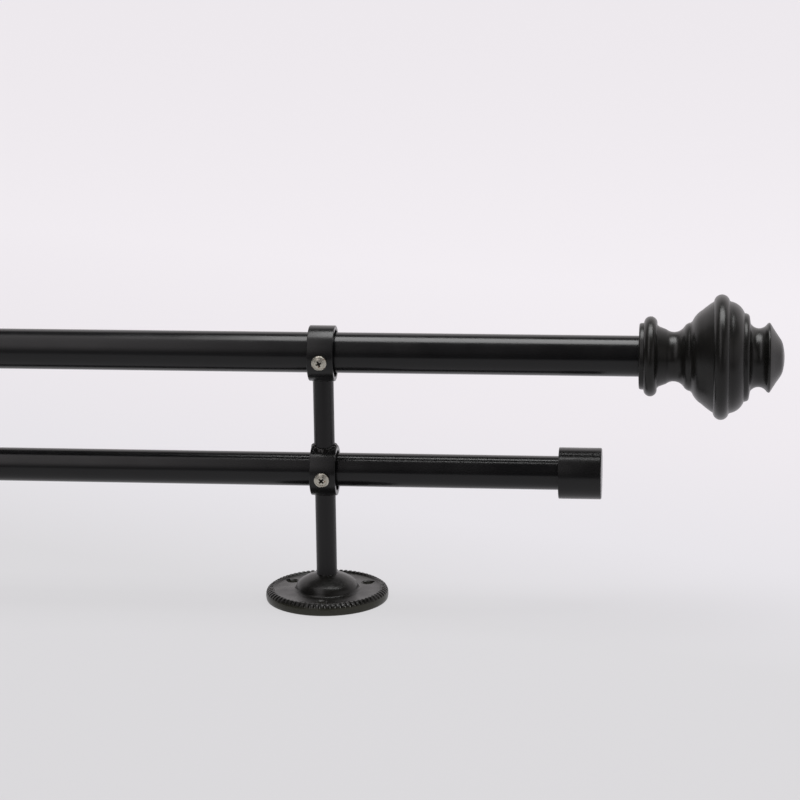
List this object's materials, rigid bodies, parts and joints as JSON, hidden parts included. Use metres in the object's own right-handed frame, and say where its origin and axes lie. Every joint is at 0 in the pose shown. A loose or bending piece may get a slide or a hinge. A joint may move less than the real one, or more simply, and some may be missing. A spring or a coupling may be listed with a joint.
{
  "type": "double curtain rod with brackets",
  "caption": "Double telescoping curtain rod: a finial-ended front rod and a capped rear rod, held in stacked collars on stems that rise from round domed wall plates.",
  "frame": {"origin": "on the wall plane, halfway between the brackets' stems", "axes": "+X along the rods towards the wide tubes' finial end, +Z away from the wall along the stems; the set screws face -Y"},
  "size_m": [0.9742, 0.0613, 0.1528],
  "materials": {
    "painted_steel": "semi-gloss black powder coat on steel tube and bar",
    "painted_casting": "satin black paint on a zinc casting",
    "painted_resin": "satin black lacquer on cast resin",
    "nickel_screw": "nickel-plated steel, worn in the recess",
    "zinc_steel": "zinc-plated threaded steel",
    "brass_insert": "turned brass",
    "moulded_plastic": "moulded black nylon"
  },
  "bodies": {
    "right_bracket": {"right_wall_plate": "painted_casting", "right_lower_stem": "painted_steel", "right_rear_collar": "painted_steel", "right_upper_stem": "painted_steel", "right_front_collar": "painted_steel", "right_weld_beads": "painted_steel"},
    "left_bracket": {"left_wall_plate": "painted_casting", "left_lower_stem": "painted_steel", "left_rear_collar": "painted_steel", "left_upper_stem": "painted_steel", "left_front_collar": "painted_steel", "left_weld_beads": "painted_steel"},
    "front_outer_rod": {"front_outer_tube": "painted_steel", "right_tube_plug": "moulded_plastic", "right_plug_insert": "brass_insert"},
    "front_inner_rod": {"front_inner_tube": "painted_steel", "front_guide_bush": "moulded_plastic", "left_tube_plug": "moulded_plastic", "left_plug_insert": "brass_insert"},
    "rear_outer_rod": {"rear_outer_tube": "painted_steel"},
    "rear_inner_rod": {"rear_inner_tube": "painted_steel", "rear_guide_bush": "moulded_plastic"},
    "right_finial": {"right_finial": "painted_resin", "right_finial_stud": "zinc_steel"},
    "right_end_cap": {"right_end_cap": "painted_steel", "right_cap_liner": "moulded_plastic"},
    "right_front_screw": {"right_front_set_screw": "nickel_screw"},
    "right_rear_screw": {"right_rear_set_screw": "nickel_screw"},
    "left_finial": {"left_finial": "painted_resin", "left_finial_stud": "zinc_steel"},
    "left_end_cap": {"left_end_cap": "painted_steel", "left_cap_liner": "moulded_plastic"},
    "left_front_screw": {"left_front_set_screw": "nickel_screw"},
    "left_rear_screw": {"left_rear_set_screw": "nickel_screw"}
  },
  "joints": [
    {"name": "left_bracket_place", "type": "slide", "parent": "right_bracket", "child": "left_bracket", "axis": [-1, 0, 0], "range_m": [-0.45, 0.105]},
    {"name": "front_rod_slide", "type": "slide", "parent": "right_bracket", "child": "front_outer_rod", "axis": [1, 0, 0], "range_m": [-0.14, 0.14]},
    {"name": "front_telescope", "type": "slide", "parent": "front_outer_rod", "child": "front_inner_rod", "axis": [-1, 0, 0], "range_m": [-0.07, 0.56]},
    {"name": "rear_rod_slide", "type": "slide", "parent": "right_bracket", "child": "rear_outer_rod", "axis": [1, 0, 0], "range_m": [-0.1, 0.1]},
    {"name": "rear_telescope", "type": "slide", "parent": "rear_outer_rod", "child": "rear_inner_rod", "axis": [-1, 0, 0], "range_m": [-0.05, 0.53]},
    {"name": "right_finial_turn", "type": "hinge", "parent": "front_outer_rod", "child": "right_finial", "pos_m": [0.4185, 0.00155, 0.123], "axis": [1, 0, 0], "continuous": true},
    {"name": "left_finial_turn", "type": "hinge", "parent": "front_inner_rod", "child": "left_finial", "pos_m": [-0.4185, 0.00155, 0.123], "axis": [-1, 0, 0], "continuous": true},
    {"name": "right_cap_pull", "type": "slide", "parent": "rear_outer_rod", "child": "right_end_cap", "axis": [1, 0, 0], "range_m": [0, 0.02]},
    {"name": "left_cap_pull", "type": "slide", "parent": "rear_inner_rod", "child": "left_end_cap", "axis": [-1, 0, 0], "range_m": [0, 0.02]},
    {"name": "right_front_screw_turn", "type": "hinge", "parent": "right_bracket", "child": "right_front_screw", "pos_m": [0.267, 0, 0.123], "axis": [0, -0.9945, -0.1045], "range_deg": [0, 1080]},
    {"name": "right_rear_screw_turn", "type": "hinge", "parent": "right_bracket", "child": "right_rear_screw", "pos_m": [0.267, 0, 0.0647], "axis": [0, -0.9945, -0.1045], "range_deg": [0, 1080]},
    {"name": "left_front_screw_turn", "type": "hinge", "parent": "left_bracket", "child": "left_front_screw", "pos_m": [-0.267, 0, 0.123], "axis": [0, -0.9945, -0.1045], "range_deg": [0, 1080]},
    {"name": "left_rear_screw_turn", "type": "hinge", "parent": "left_bracket", "child": "left_rear_screw", "pos_m": [-0.267, 0, 0.0647], "axis": [0, -0.9945, -0.1045], "range_deg": [0, 1080]}
  ]
}
